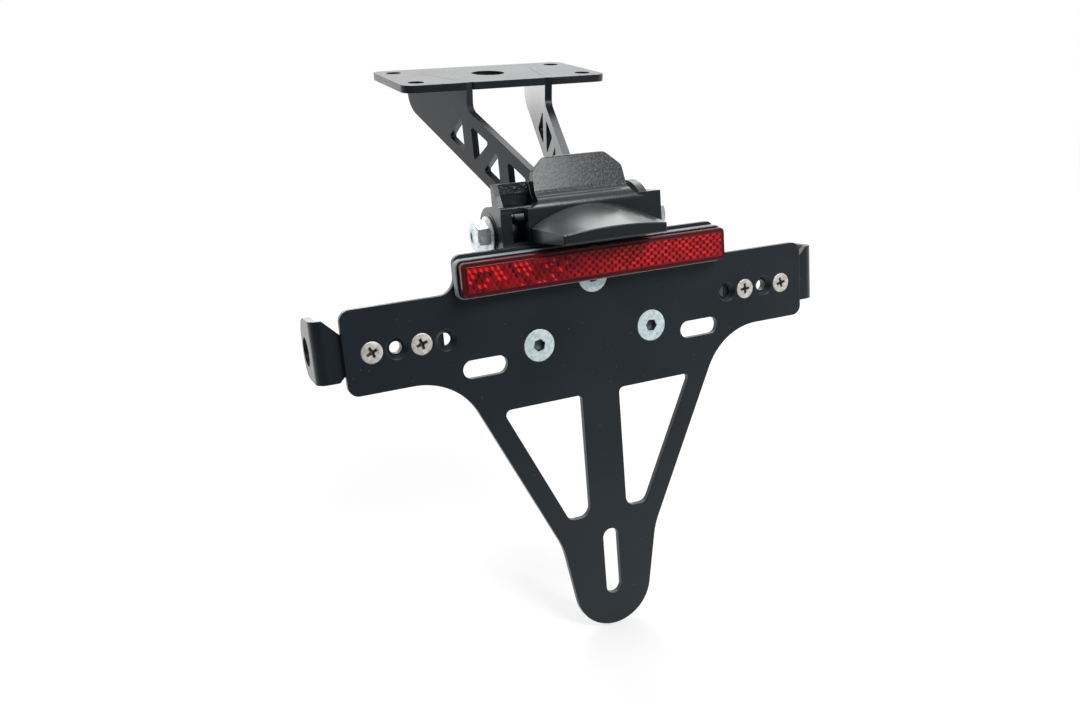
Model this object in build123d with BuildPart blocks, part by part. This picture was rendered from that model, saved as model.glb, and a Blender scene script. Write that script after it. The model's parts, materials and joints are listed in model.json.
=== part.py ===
"""Motorbike tail tidy: a folded-sheet licence-plate holder with a tilting lamp and reflector head.

The origin is the centre of the base plate's top face, +Z is up and +Y is forward, towards the
bike, so the reflector and the plate carrier face -Y. The head is drawn in its own leaning frame,
where x is across, y is up along the plate carrier and z stands out of its front face.
"""

from build123d import *
from math import acos, atan2, cos, degrees, hypot, radians, sin, tan
import os

# Sizes in millimetres and angles in degrees

# Base plate
base_width = 89.2
base_depth = 48.6
base_thickness = 3.0
base_corner = 5.0
base_bolt_hole = 6.5
base_bolt_pitch_x = 74.0
base_bolt_pitch_y = 31.6
cable_hole = 14.0

# Arms
arm_thickness = 3.0
arm_toe_in = 13.0
arm_half_spacing = 17.4
arm_rear_inset = 0.4
arm_foot_length = 47.2
arm_front_radius = 10.0
arm_band_width = 21.5
arm_heel_drop = 10.8
arm_heel_radius = 4.0
arm_tab_length = 26.5
arm_tab_start = 8.8
arm_hook_length = 4.5
weld_gap = 0.05

# Truss windows in each arm
truss_pairs = 2
truss_pitch = 27.0
truss_first_apex = 70.2
truss_half_height = 6.1
truss_lean_up = 7.1
truss_lean_down = 5.5
truss_bar_step = 7.3
truss_down_lean = 6.4
truss_corner = 1.0

# Hinge
hinge_back = 80.8
hinge_drop = 45.7
barrel_radius = 7.5
barrel_half_length = 24.2
barrel_chamfer = 0.5
hinge_thread = 6.0
hinge_thread_depth = 12.0
hinge_flange = 13.6
hinge_flange_thickness = 1.4
hinge_head_flats = 10.0
hinge_head_height = 6.0
hinge_head_chamfer = 0.6
hinge_tip_gap = 1.0
hinge_clearance = 0.08
running_gap = 0.3
seat_gap = 0.1

# Place of the leaning head on its hinge
plate_tilt = 11.5
hinge_above_row = 32.0
hinge_behind_face = 16.0

# Plate carrier: heights are from the row of screw holes
carrier_thickness = 2.5
tab_top = 28.4
tab_half_width = 52.7
tab_corner = 3.0
tab_foot = 6.0
wing_top = 15.4
wing_bottom = -14.2
wing_half_width = 93.5
wing_top_corner = 4.0
wing_bottom_corner = 3.8
shoulder_half_width = 55.3
shoulder_radius = 25.0
knee_half_width = 20.15
knee_drop = 88.5
knee_radius = 30.0
tongue_radius = 16.25
tongue_end = 125.75
window_top_drop = 29.5
window_bottom_drop = 78.0
window_bar_half = 7.8
window_rim = 7.6
window_top_radius = 2.0
window_bottom_radius = 4.0
plate_slot_length = 16.8
plate_slot_width = 6.6
plate_slot_x = 44.5
plate_slot_drop = 12.1
tongue_slot_length = 27.5
tongue_slot_drop = 99.0
row_screw_x = (66.6, 84.0)
row_open_x = (57.9, 75.4)

# Screws
small_thread = 4.0
small_head = 7.6
small_length = 10.0
small_nut_flats = 7.0
small_nut_height = 3.2
cross_recess_length = 4.4
cross_recess_width = 0.9
cross_recess_depth = 1.3
hub_thread = 6.0
hub_head = 12.0
hub_length = 10.0
hub_socket = 4.0
hub_socket_depth = 2.4
hub_insert_diameter = 8.6
hub_insert_length = 6.5
hub_side_x = 23.3
hub_side_height = -7.8
hub_top_height = 14.4
screw_clearance = 0.3
head_clearance = 0.2

# Indicator brackets
bracket_thickness = 2.5
bracket_inner = 57.9
bracket_outer = 102.8
bracket_strip_height = 14.0
bracket_ear_top = 12.6
bracket_ear_bottom = -9.1
bracket_ear_reach = 9.6
bracket_back = 23.0
bracket_bend = 1.5
bracket_upper_corner = 9.0
bracket_lower_corner = 7.5
indicator_hole = 10.2
indicator_behind = 16.2
indicator_height = 0.5

# Reflector
reflector_half_width = 53.4
reflector_bottom = 13.5
reflector_top = 27.2
reflector_corner = 2.6
reflector_pad_thickness = 1.0
reflector_pad_inset = 1.2
reflector_case_depth = 3.0
reflector_case_wall = 0.5
reflector_floor = 1.2
reflector_seal_width = 0.35
reflector_lens_proud = 4.0
reflector_edge = 0.8

# Lamp housing
ear_inner = 27.8
ear_outer = 32.4
ear_radius = 10.0
ear_boss_radius = 8.0
ear_boss_outer = 32.6
cheek_front = -3.7
cheek_top = 42.0
cheek_wall = 1.6
right_boss_radius = 14.2
left_boss_radius = 8.0
pad_depth = 8.0
pad_top = 28.4
pad_shoulder = -10.0
pad_foot_half_width = 16.0
pad_bottom = -19.0
pad_corner = 6.0
block_half_width = 23.6
block_top = 41.2
block_back = -7.6
block_step = 0.35
block_corner = 0.6
ledge_height = 43.0
ledge_radius = 4.4
fold_height = 45.2
fold_out = -4.2
fold_radius = 4.4
shield_top = 58.0
shield_top_out = -7.6
shield_thickness = 3.0
shield_edge_radius = 0.8
shield_foot_half_width = 18.8
shield_foot_radius = 4.0
shield_shoulder_height = 52.7
shield_shoulder_half_width = 17.9
shield_top_half_width = 11.7
shield_corner = 3.5
recess_inner = 21.9
recess_outer = 28.2
recess_top = 39.4
recess_front = -2.4
pocket_inner = 17.0
pocket_back = -11.0
pocket_front = -3.2
pocket_back_top = 50.0
pocket_front_top = 41.8
pocket_wall = 2.0
pocket_floor = 41.0
pocket_rim_height = 1.2
pocket_rim_radius = 0.3
arm_sweep_half_width = 9.6

# Lamp hood
hood_seat = 0.95
hood_nose = 20.5
hood_half_width = 23.2
hood_side_top = 34.3
hood_apex = 40.6
hood_bottom = 29.3
hood_nose_half_width = 19.9
hood_nose_side_top = 32.6
hood_nose_apex = 33.8
hood_wall = 1.8
hood_hollow_end = 14.5
hood_edge = 0.5
gasket_thickness = 0.6
gasket_inset = 0.5
hood_screw_x = 16.8
hood_screw_height = 33.0
hood_screw_thread = 2.5
hood_screw_head = 4.4
hood_screw_head_height = 1.7
hood_screw_length = 7.0
hood_screw_seat = -2.5
hood_boss_radius = 2.3
hood_boss_length = 5.0
hood_boss_floor = 1.0

# Lamp lens, board, diodes and lead grommet
lens_half_width = 11.0
lens_back = 5.4
lens_front = 12.4
lens_fit = 0.1
board_half_width = 13.6
board_back = 5.2
board_front = 10.6
board_height = 32.4
board_thickness = 1.0
board_ledge_width = 2.0
diode_size = 3.0
diode_height = 0.8
diode_pitch = 8.0
diode_count = 3
grommet_x = 10.8
grommet_height = 35.6
grommet_flange = 6.4
grommet_sleeve = 4.6
grommet_bore = 3.0
grommet_flange_thickness = 1.0
grommet_face = -5.6
grommet_length = 4.0

# The head's frame, hung on the hinge axis
tilt = radians(plate_tilt)
up_axis = Vector(0, sin(tilt), cos(tilt))
out_axis = Vector(0, -cos(tilt), sin(tilt))
hinge_centre = Vector(0, -hinge_back, -hinge_drop)
head_origin = hinge_centre - up_axis * hinge_above_row + out_axis * hinge_behind_face
head = Plane(head_origin, x_dir=(1, 0, 0), z_dir=out_axis)
hinge_point = (hinge_above_row, -hinge_behind_face)
sides = (-1, 1)

os.makedirs("parts", exist_ok=True)


def across(x):
    """Plane square to the hinge axis at x, where sketch x is up and sketch y is out."""
    return Plane(head_origin + Vector(x, 0, 0), x_dir=up_axis, z_dir=(1, 0, 0))


def level(height):
    """Plane square to the carrier at a height, where sketch x is across and sketch y is inwards."""
    return Plane(head_origin + up_axis * height, x_dir=(1, 0, 0), z_dir=up_axis)


def arm_plane(side):
    """Middle plane of one arm, where sketch x runs forward from the plate's rear edge."""
    toe = radians(arm_toe_in)
    start = (side * arm_half_spacing, -base_depth / 2 + arm_rear_inset, 0)
    return Plane(start, x_dir=(side * sin(toe), cos(toe), 0), z_dir=(cos(toe), -side * sin(toe), 0))


def tangent_point(point, centre, radius, turn):
    """Point where a line from a point touches a circle, on the side that turn gives."""
    dx = point[0] - centre[0]
    dy = point[1] - centre[1]
    angle = atan2(dy, dx) + turn * acos(radius / hypot(dx, dy))
    return (centre[0] + radius * cos(angle), centre[1] + radius * sin(angle)), degrees(angle)


def rounded_arch(half_width, side_top, apex, bottom):
    """Flat-bottomed outline with upright sides and an arched top."""
    with BuildSketch(Plane.XY) as outline:
        with BuildLine():
            Polyline((-half_width, side_top), (-half_width, bottom), (half_width, bottom), (half_width, side_top))
            ThreePointArc((-half_width, side_top), (0, apex), (half_width, side_top))
        make_face()
    return outline.sketch


def countersunk_screw(head_diameter, thread, length, recess, recess_depth):
    """Countersunk screw along -Z, with the top of its head at the origin."""
    head_radius = head_diameter / 2
    shank = thread / 2
    with BuildPart() as screw:
        with BuildSketch(Plane.XZ):
            with BuildLine():
                Polyline(
                    (0, 0),
                    (head_radius, 0),
                    (shank, shank - head_radius),
                    (shank, -length),
                    (0, -length),
                    close=True,
                )
            make_face()
        revolve(axis=Axis.Z)
        with BuildSketch(Plane.XY):
            add(recess)
        extrude(amount=-recess_depth, mode=Mode.SUBTRACT)
    return screw.part


# Base plate, with slots and rear notches for the arms
toe_in = radians(arm_toe_in)
tab_middle = arm_tab_start + arm_tab_length / 2
with BuildPart() as base_plate:
    with BuildSketch(Plane.XY):
        RectangleRounded(base_width, base_depth, base_corner)
        with GridLocations(base_bolt_pitch_x, base_bolt_pitch_y, 2, 2):
            Circle(base_bolt_hole / 2, mode=Mode.SUBTRACT)
        Circle(cable_hole / 2, mode=Mode.SUBTRACT)
        for side in sides:
            rear_y = -base_depth / 2 + arm_rear_inset
            for reach, length in ((tab_middle, arm_tab_length), (0, 2 * arm_hook_length)):
                place = (side * (arm_half_spacing + reach * sin(toe_in)), rear_y + reach * cos(toe_in))
                with Locations(Location((*place, 0), (0, 0, -side * arm_toe_in))):
                    Rectangle(arm_thickness + 2 * weld_gap, length + 2 * weld_gap, mode=Mode.SUBTRACT)
    extrude(amount=-base_thickness)
base_plate.part.label = "base_plate"
export_step(base_plate.part, "parts/base_plate.step")


# Arms: a heel under the plate, a truss band down to the hinge and a round end about it
reach_scale = cos(toe_in)
hinge_reach = (-hinge_back + base_depth / 2 - arm_rear_inset) / reach_scale
arm_end = (hinge_reach, -hinge_drop)
end_radius = arm_band_width / 2
heel = (0, -arm_heel_drop)
end_top, end_top_angle = tangent_point(heel, arm_end, end_radius, 1)
chord_angle = radians(end_top_angle - 90)
chord = (cos(chord_angle), sin(chord_angle))
end_bottom = (arm_end[0] + end_radius * chord[1], arm_end[1] - end_radius * chord[0])
front_bottom = (arm_foot_length, end_bottom[1] + (arm_foot_length - end_bottom[0]) * tan(chord_angle))
front_height = -base_thickness - front_bottom[1]
front_radius = min(arm_front_radius, 0.9 * front_height * tan(radians(45) + chord_angle / 2))


def band_point(along, offset):
    """Point on the arm's band, along it from the hinge and across it from its middle line."""
    return (
        arm_end[0] + along * chord[0] - offset * chord[1],
        arm_end[1] + along * chord[1] + offset * chord[0],
    )


def make_arm(side):
    """One arm with its truss windows and the tabs that lock it into the base plate."""
    with BuildPart() as arm:
        with BuildSketch(arm_plane(side)):
            with BuildLine():
                FilletPolyline(
                    end_top,
                    heel,
                    (0, -base_thickness),
                    (arm_foot_length, -base_thickness),
                    front_bottom,
                    end_bottom,
                    radius=[arm_heel_radius, 0, 0, front_radius],
                )
                CenterArc(arm_end, end_radius, end_top_angle, 180)
            make_face()
            with Locations((tab_middle, -base_thickness / 2)):
                Rectangle(arm_tab_length, base_thickness)
            with Locations((arm_hook_length / 2, -base_thickness / 2)):
                Rectangle(arm_hook_length, base_thickness)
        extrude(amount=arm_thickness / 2, both=True)
        with BuildSketch(arm_plane(side)) as windows:
            for pair in range(truss_pairs):
                apex = truss_first_apex - pair * truss_pitch
                low_apex = apex - truss_lean_up - truss_bar_step
                with BuildLine():
                    Polyline(
                        band_point(apex, truss_half_height),
                        band_point(apex + truss_lean_down, -truss_half_height),
                        band_point(apex - truss_lean_up, -truss_half_height),
                        close=True,
                    )
                make_face()
                with BuildLine():
                    Polyline(
                        band_point(low_apex, -truss_half_height),
                        band_point(low_apex + truss_lean_up, truss_half_height),
                        band_point(low_apex - truss_down_lean, truss_half_height),
                        close=True,
                    )
                make_face()
            fillet(windows.vertices(), truss_corner)
        extrude(amount=arm_thickness, both=True, mode=Mode.SUBTRACT)
        with BuildSketch(Plane(hinge_centre, x_dir=(0, 1, 0), z_dir=(1, 0, 0))):
            Circle(barrel_radius + weld_gap)
        extrude(amount=barrel_half_length, both=True, mode=Mode.SUBTRACT)
    return arm.part


with BuildPart() as left_arm:
    add(make_arm(-1))
left_arm.part.label = "left_arm"
export_step(left_arm.part, "parts/left_arm.step")

with BuildPart() as right_arm:
    add(make_arm(1))
right_arm.part.label = "right_arm"
export_step(right_arm.part, "parts/right_arm.step")


# Hinge barrel, a round bar tapped at both ends
with BuildPart() as hinge_barrel:
    with BuildSketch(Plane(hinge_centre, x_dir=(0, 1, 0), z_dir=(1, 0, 0))):
        Circle(barrel_radius)
    extrude(amount=barrel_half_length, both=True)
    chamfer(hinge_barrel.edges().filter_by(GeomType.CIRCLE), barrel_chamfer)
    for side in sides:
        end = hinge_centre + Vector(side * barrel_half_length, 0, 0)
        with BuildSketch(Plane(end, x_dir=(0, 1, 0), z_dir=(side, 0, 0))):
            Circle(hinge_thread / 2 + weld_gap)
        extrude(amount=-hinge_thread_depth, mode=Mode.SUBTRACT)
hinge_barrel.part.label = "hinge_barrel"
export_step(hinge_barrel.part, "parts/hinge_barrel.step")


# Hinge bolts, hex flange bolts through the ears into the barrel
bolt_seat = ear_boss_outer + seat_gap
bolt_tip = barrel_half_length - hinge_thread_depth + hinge_tip_gap
with BuildPart() as hinge_bolts:
    with BuildSketch(Plane(hinge_centre + Vector(bolt_seat, 0, 0), x_dir=(0, 1, 0), z_dir=(1, 0, 0))):
        Circle(hinge_flange / 2)
    extrude(amount=hinge_flange_thickness)
    with BuildSketch(Plane(hinge_centre + Vector(bolt_seat, 0, 0), x_dir=(0, 1, 0), z_dir=(1, 0, 0))):
        RegularPolygon(hinge_head_flats / 2, 6, major_radius=False)
    extrude(amount=hinge_head_height)
    chamfer(hinge_bolts.faces().sort_by(Axis.X)[-1].edges(), hinge_head_chamfer)
    with BuildSketch(Plane(hinge_centre + Vector(bolt_seat, 0, 0), x_dir=(0, 1, 0), z_dir=(1, 0, 0))):
        Circle(hinge_thread / 2)
    extrude(amount=bolt_tip - bolt_seat)
    mirror(about=Plane.YZ)
hinge_bolts.part.label = "hinge_bolts"
export_step(hinge_bolts.part, "parts/hinge_bolts.step")


# Plate carrier
shoulder = (shoulder_half_width, wing_bottom)
knee = (knee_half_width, -knee_drop)
tongue_centre = (0, tongue_radius - tongue_end)
tongue_start, tongue_angle = tangent_point(knee, tongue_centre, tongue_radius, -1)
side_slope = (shoulder_half_width - knee_half_width) / (knee_drop + wing_bottom)
rim_across = window_rim * hypot(1, side_slope)


def window_side(drop):
    """Outer edge of a carrier window at a drop below the screw row."""
    return shoulder_half_width - (drop + wing_bottom) * side_slope - rim_across


window_foot_radius = min(window_bottom_radius, 0.45 * (window_side(window_bottom_drop) - window_bar_half))

with BuildPart() as plate_carrier:
    with BuildSketch(head):
        with BuildLine():
            FilletPolyline(
                (0, tab_top),
                (tab_half_width, tab_top),
                (tab_half_width, wing_top),
                (wing_half_width, wing_top),
                (wing_half_width, wing_bottom),
                shoulder,
                knee,
                tongue_start,
                radius=[tab_corner, tab_foot, wing_top_corner, wing_bottom_corner, shoulder_radius, knee_radius],
            )
            CenterArc(tongue_centre, tongue_radius, -90, 90 + tongue_angle)
            mirror(about=Plane.YZ)
        make_face()
    extrude(amount=-carrier_thickness)
    with BuildSketch(head) as openings:
        for side in sides:
            with BuildLine():
                Polyline(
                    (side * window_bar_half, -window_top_drop),
                    (side * window_side(window_top_drop), -window_top_drop),
                    (side * window_side(window_bottom_drop), -window_bottom_drop),
                    (side * window_bar_half, -window_bottom_drop),
                    close=True,
                )
            make_face()
        fillet(openings.vertices().group_by(Axis.Y)[-1], window_top_radius)
        fillet(openings.vertices().group_by(Axis.Y)[0], window_foot_radius)
        with Locations((-plate_slot_x, -plate_slot_drop), (plate_slot_x, -plate_slot_drop)):
            SlotOverall(plate_slot_length, plate_slot_width)
        with Locations((0, -tongue_slot_drop)):
            SlotOverall(tongue_slot_length, plate_slot_width, rotation=90)
    extrude(amount=-carrier_thickness, mode=Mode.SUBTRACT)
    with Locations(head):
        with Locations(*[(side * x, 0) for side in sides for x in row_screw_x + row_open_x]):
            CounterSinkHole(
                small_thread / 2 + screw_clearance / 2,
                small_head / 2 + head_clearance / 2,
                depth=carrier_thickness,
                counter_sink_angle=90,
            )
        with Locations((-hub_side_x, hub_side_height), (hub_side_x, hub_side_height), (0, hub_top_height)):
            CounterSinkHole(
                hub_thread / 2 + screw_clearance / 2,
                hub_head / 2 + head_clearance / 2,
                depth=carrier_thickness,
                counter_sink_angle=90,
            )
plate_carrier.part.label = "plate_carrier"
export_step(plate_carrier.part, "parts/plate_carrier.step")


# Lamp housing
pad_back = -carrier_thickness - pad_depth
sweep_radius = end_radius + running_gap
hinge_back_edge = (hinge_above_row - ear_radius, -hinge_behind_face - ear_radius)
with BuildPart() as block:
    # Side outline: the wall behind the hood, a short ledge and the leaning shield
    with BuildSketch(across(-block_half_width)):
        with BuildLine():
            FilletPolyline(
                (hood_bottom, block_step),
                (ledge_height, block_step),
                (fold_height, fold_out),
                (shield_top, shield_top_out),
                (shield_top, shield_top_out - shield_thickness),
                (fold_height, fold_out - shield_thickness),
                (block_top, block_back),
                (hood_bottom, block_back),
                radius=[0, ledge_radius, fold_radius, shield_edge_radius, shield_edge_radius, 0, 0, 0],
                close=True,
            )
        make_face()
    extrude(amount=2 * block_half_width)
    # Front outline: square shoulders that sweep up into the shield's cut corners
    with BuildSketch(head.offset(pocket_back)):
        with BuildLine():
            FilletPolyline(
                (0, hood_bottom),
                (block_half_width, hood_bottom),
                (block_half_width, block_top),
                (shield_foot_half_width, block_top),
                (shield_shoulder_half_width, shield_shoulder_height),
                (shield_top_half_width, shield_top),
                (0, shield_top),
                radius=[0, block_corner, shield_foot_radius, shield_corner, shield_corner],
            )
            mirror(about=Plane.YZ)
        make_face()
    extrude(amount=block_step - pocket_back, mode=Mode.INTERSECT)

with BuildPart() as pocket:
    with BuildSketch(across(-ear_outer)):
        with BuildLine():
            FilletPolyline(
                (recess_top, pocket_back),
                (pocket_back_top, pocket_back),
                (pocket_back_top, pocket_back + pocket_wall),
                (pocket_front_top, pocket_front - pocket_wall),
                (pocket_front_top, pocket_front),
                (pocket_front_top - pocket_rim_height, pocket_front),
                (recess_top, cheek_front),
                radius=pocket_rim_radius,
                close=True,
            )
        make_face()
    extrude(amount=ear_outer - pocket_inner)

with BuildPart() as lamp_housing:
    # Pad behind the carrier
    with BuildSketch(head.offset(-carrier_thickness)):
        with BuildLine():
            FilletPolyline(
                (0, pad_top),
                (ear_outer, pad_top),
                (ear_outer, pad_shoulder),
                (pad_foot_half_width, pad_bottom),
                (0, pad_bottom),
                radius=[0, pad_corner, pad_corner],
            )
            mirror(about=Plane.YZ)
        make_face()
    extrude(amount=pad_back + carrier_thickness)
    # Cheek wall between the ears
    with BuildSketch(head.offset(cheek_front)):
        with Locations((0, pad_top)):
            Rectangle(2 * ear_outer, cheek_top - pad_top, align=(Align.CENTER, Align.MIN))
    extrude(amount=-cheek_wall)
    # Ears round the hinge bolts, with their bosses
    for side in sides:
        with BuildSketch(across(side * (ear_inner + ear_outer) / 2)):
            with Locations(hinge_point):
                Circle(ear_radius)
            with BuildLine():
                Polyline(
                    (0, cheek_front),
                    (cheek_top, cheek_front),
                    (cheek_top, -hinge_behind_face),
                    (hinge_above_row - ear_radius, -hinge_behind_face),
                    (0, pad_back),
                    close=True,
                )
            make_face()
        extrude(amount=(ear_outer - ear_inner) / 2, both=True)
        with BuildSketch(across(side * ear_outer)):
            with Locations(hinge_point):
                Circle(ear_boss_radius)
        extrude(amount=side * (ear_boss_outer - ear_outer))
    for side, boss_radius in zip(sides, (left_boss_radius, right_boss_radius)):
        with BuildSketch(across(side * ear_inner)):
            with Locations(hinge_point):
                Circle(boss_radius)
            with Locations(hinge_back_edge):
                Rectangle(
                    ear_radius + 2 * boss_radius,
                    cheek_front - hinge_back_edge[1],
                    align=(Align.MIN, Align.MIN),
                    mode=Mode.INTERSECT,
                )
        extrude(amount=-side * (ear_inner - barrel_half_length - running_gap))
    add(block.part)
    add(pocket.part)
    # Hollow of the pocket, and the recess under it that runs in behind the block's edge
    with BuildSketch(level(pocket_floor)):
        with BuildLine():
            Polyline(
                (pocket_wall - ear_outer, pocket_wall - pocket_front),
                (-pocket_inner - pocket_wall, pocket_wall - pocket_front),
                (-pocket_inner - pocket_wall, -pocket_back - pocket_wall),
                (pocket_wall - ear_outer, -pocket_back - pocket_wall),
                close=True,
            )
        make_face()
    extrude(amount=shield_top - pocket_floor, mode=Mode.SUBTRACT)
    with BuildSketch(head.offset(block_back)):
        with BuildLine():
            Polyline(
                (-recess_inner, hood_bottom),
                (-recess_inner, recess_top),
                (-recess_outer, recess_top),
                (-recess_outer, hood_bottom),
                close=True,
            )
        make_face()
    extrude(amount=recess_front - block_back, mode=Mode.SUBTRACT)
    # Room for the barrel and for the arms' round ends, and holes for the bolts
    with BuildSketch(across(0)):
        with Locations(hinge_point):
            Circle(barrel_radius + running_gap)
    extrude(amount=barrel_half_length + running_gap, both=True, mode=Mode.SUBTRACT)
    with BuildSketch(across(0)):
        with Locations(hinge_point):
            Circle(sweep_radius)
    extrude(amount=arm_sweep_half_width, both=True, mode=Mode.SUBTRACT)
    with BuildSketch(across(0)):
        with Locations(hinge_point):
            Circle(hinge_thread / 2 + hinge_clearance)
    extrude(amount=ear_boss_outer, both=True, mode=Mode.SUBTRACT)
    # Seats of the hub inserts, with room for the screws' cones
    with Locations(head.offset(-carrier_thickness)):
        with Locations((-hub_side_x, hub_side_height), (hub_side_x, hub_side_height), (0, hub_top_height)):
            Hole(hub_insert_diameter / 2 + weld_gap, depth=pad_depth)
    # Holes for the hood screws, driven from behind, and for the lead
    with Locations(head.offset(hood_screw_seat)):
        with Locations((-hood_screw_x, hood_screw_height), (hood_screw_x, hood_screw_height)):
            Hole(hood_screw_head / 2 + screw_clearance / 2, depth=ear_radius)
    with Locations(head.offset(hood_seat)):
        with Locations((-hood_screw_x, hood_screw_height), (hood_screw_x, hood_screw_height)):
            Hole(hood_screw_thread / 2 + weld_gap, depth=hood_seat - hood_screw_seat)
        with Locations((grommet_x, grommet_height)):
            Hole(grommet_sleeve / 2 + weld_gap, depth=hood_seat - grommet_face)
    with Locations(head.offset(grommet_face + grommet_flange_thickness)):
        with Locations((grommet_x, grommet_height)):
            Hole(grommet_flange / 2 + weld_gap, depth=ear_radius)
lamp_housing.part.label = "lamp_housing"
export_step(lamp_housing.part, "parts/lamp_housing.step")


# Hood sections, from the gasket to the nose
def hood_section(out, inset=0.0):
    """Outline of the hood at a distance out of the carrier's face, inset from its outside."""
    share = (out - hood_seat) / (hood_nose - hood_seat)
    return rounded_arch(
        hood_half_width + share * (hood_nose_half_width - hood_half_width) - inset,
        hood_side_top + share * (hood_nose_side_top - hood_side_top) - inset,
        hood_apex + share * (hood_nose_apex - hood_apex) - inset,
        hood_bottom + inset,
    )


hood_opening = hood_section(hood_seat, hood_wall)
gasket_outline = hood_section(hood_seat, gasket_inset)
with BuildPart() as hood_gasket:
    with BuildSketch(head.offset(hood_seat)):
        add(gasket_outline)
        add(hood_opening, mode=Mode.SUBTRACT)
    extrude(amount=-gasket_thickness)
hood_gasket.part.label = "hood_gasket"
export_step(hood_gasket.part, "parts/hood_gasket.step")


# Lamp hood: a hollow arch that narrows to a low nose
hood_back = hood_section(hood_seat)
hood_front = hood_section(hood_nose)
hollow_end = hood_section(hood_hollow_end, hood_wall)
with BuildPart() as lamp_hood:
    with BuildSketch(head.offset(hood_seat)):
        add(hood_back)
    with BuildSketch(head.offset(hood_nose)):
        add(hood_front)
    loft(ruled=True)
    nose_face = lamp_hood.faces().sort_by(Axis(head_origin, out_axis))[-1]
    fillet(nose_face.edges(), hood_edge)
    with BuildSketch(head.offset(hood_seat)):
        add(hood_opening)
    with BuildSketch(head.offset(hood_hollow_end)):
        add(hollow_end)
    loft(ruled=True, mode=Mode.SUBTRACT)
    # Bosses for the screws, then their pilot holes
    with BuildSketch(head.offset(hood_seat)):
        with Locations((-hood_screw_x, hood_screw_height), (hood_screw_x, hood_screw_height)):
            Circle(hood_boss_radius)
    extrude(amount=hood_boss_length)
    with BuildSketch(head.offset(hood_seat)):
        with Locations((-hood_screw_x, hood_screw_height), (hood_screw_x, hood_screw_height)):
            Circle(hood_screw_thread / 2 + weld_gap)
    extrude(amount=hood_boss_length - hood_boss_floor, mode=Mode.SUBTRACT)
    # Window for the lens in the underside
    with BuildSketch(level(hood_bottom)):
        with Locations((0, -(lens_back + lens_front) / 2)):
            Rectangle(2 * (lens_half_width + lens_fit), lens_front - lens_back + 2 * lens_fit)
    extrude(amount=hood_wall, mode=Mode.SUBTRACT)
    # Ledges beside the lens that carry the lamp board
    for side in sides:
        with BuildSketch(across(side * (board_half_width - board_ledge_width / 2))):
            with BuildLine():
                Polyline(
                    (hood_bottom + hood_wall, board_back),
                    (board_height, board_back),
                    (board_height, board_front),
                    (hood_bottom + hood_wall, board_front),
                    close=True,
                )
            make_face()
        extrude(amount=board_ledge_width / 2, both=True)
lamp_hood.part.label = "lamp_hood"
export_step(lamp_hood.part, "parts/lamp_hood.step")


# Lamp lens, flush in the hood's underside
with BuildPart() as lamp_lens:
    with BuildSketch(level(hood_bottom)):
        with Locations((0, -(lens_back + lens_front) / 2)):
            Rectangle(2 * lens_half_width, lens_front - lens_back)
    extrude(amount=hood_wall)
lamp_lens.part.label = "lamp_lens"
export_step(lamp_lens.part, "parts/lamp_lens.step")


# Lamp board and its diodes, facing down
with BuildPart() as lamp_board:
    with BuildSketch(level(board_height)):
        with Locations((0, -(board_back + board_front) / 2)):
            Rectangle(2 * board_half_width, board_front - board_back)
    extrude(amount=board_thickness)
lamp_board.part.label = "lamp_board"
export_step(lamp_board.part, "parts/lamp_board.step")

with BuildPart() as lamp_leds:
    with BuildSketch(level(board_height)):
        with Locations((0, -(board_back + board_front) / 2)):
            with GridLocations(diode_pitch, 0, diode_count, 1):
                Rectangle(diode_size, diode_size)
    extrude(amount=-diode_height)
lamp_leds.part.label = "lamp_leds"
export_step(lamp_leds.part, "parts/lamp_leds.step")


# Hood screws, pan heads behind the block
with BuildPart() as hood_screws:
    with BuildSketch(head.offset(hood_screw_seat)):
        with Locations((-hood_screw_x, hood_screw_height), (hood_screw_x, hood_screw_height)):
            Circle(hood_screw_head / 2)
    extrude(amount=-hood_screw_head_height)
    with BuildSketch(head.offset(hood_screw_seat)):
        with Locations((-hood_screw_x, hood_screw_height), (hood_screw_x, hood_screw_height)):
            Circle(hood_screw_thread / 2)
    extrude(amount=hood_screw_length)
hood_screws.part.label = "hood_screws"
export_step(hood_screws.part, "parts/hood_screws.step")


# Lead grommet in the block's back
with BuildPart() as lead_grommet:
    with Locations(head.offset(grommet_face)):
        with Locations((grommet_x, grommet_height)):
            Cylinder(
                grommet_flange / 2,
                grommet_flange_thickness,
                align=(Align.CENTER, Align.CENTER, Align.MIN),
            )
            Cylinder(grommet_sleeve / 2, grommet_length, align=(Align.CENTER, Align.CENTER, Align.MIN))
            Hole(grommet_bore / 2)
lead_grommet.part.label = "lead_grommet"
export_step(lead_grommet.part, "parts/lead_grommet.step")


# Reflector: pad, case, seal and lens
reflector_height = reflector_top - reflector_bottom
reflector_middle = (0, (reflector_top + reflector_bottom) / 2)


def reflector_outline(inset):
    """Rounded outline of the reflector, inset from its case."""
    with BuildSketch(Plane.XY) as outline:
        with Locations(reflector_middle):
            RectangleRounded(
                2 * (reflector_half_width - inset),
                reflector_height - 2 * inset,
                reflector_corner - inset,
            )
    return outline.sketch


case_outline = reflector_outline(0)
seal_outline = reflector_outline(reflector_case_wall)
lens_outline = reflector_outline(reflector_case_wall + reflector_seal_width)
with BuildPart() as reflector_pad:
    with BuildSketch(head):
        add(reflector_outline(reflector_pad_inset))
    extrude(amount=reflector_pad_thickness)
reflector_pad.part.label = "reflector_pad"
export_step(reflector_pad.part, "parts/reflector_pad.step")

case_back = reflector_pad_thickness
case_front = case_back + reflector_case_depth
with BuildPart() as reflector_case:
    with BuildSketch(head.offset(case_back)):
        add(case_outline)
    extrude(amount=reflector_case_depth)
    with BuildSketch(head.offset(case_back + reflector_floor)):
        add(seal_outline)
    extrude(amount=reflector_case_depth, mode=Mode.SUBTRACT)
reflector_case.part.label = "reflector_case"
export_step(reflector_case.part, "parts/reflector_case.step")

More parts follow.
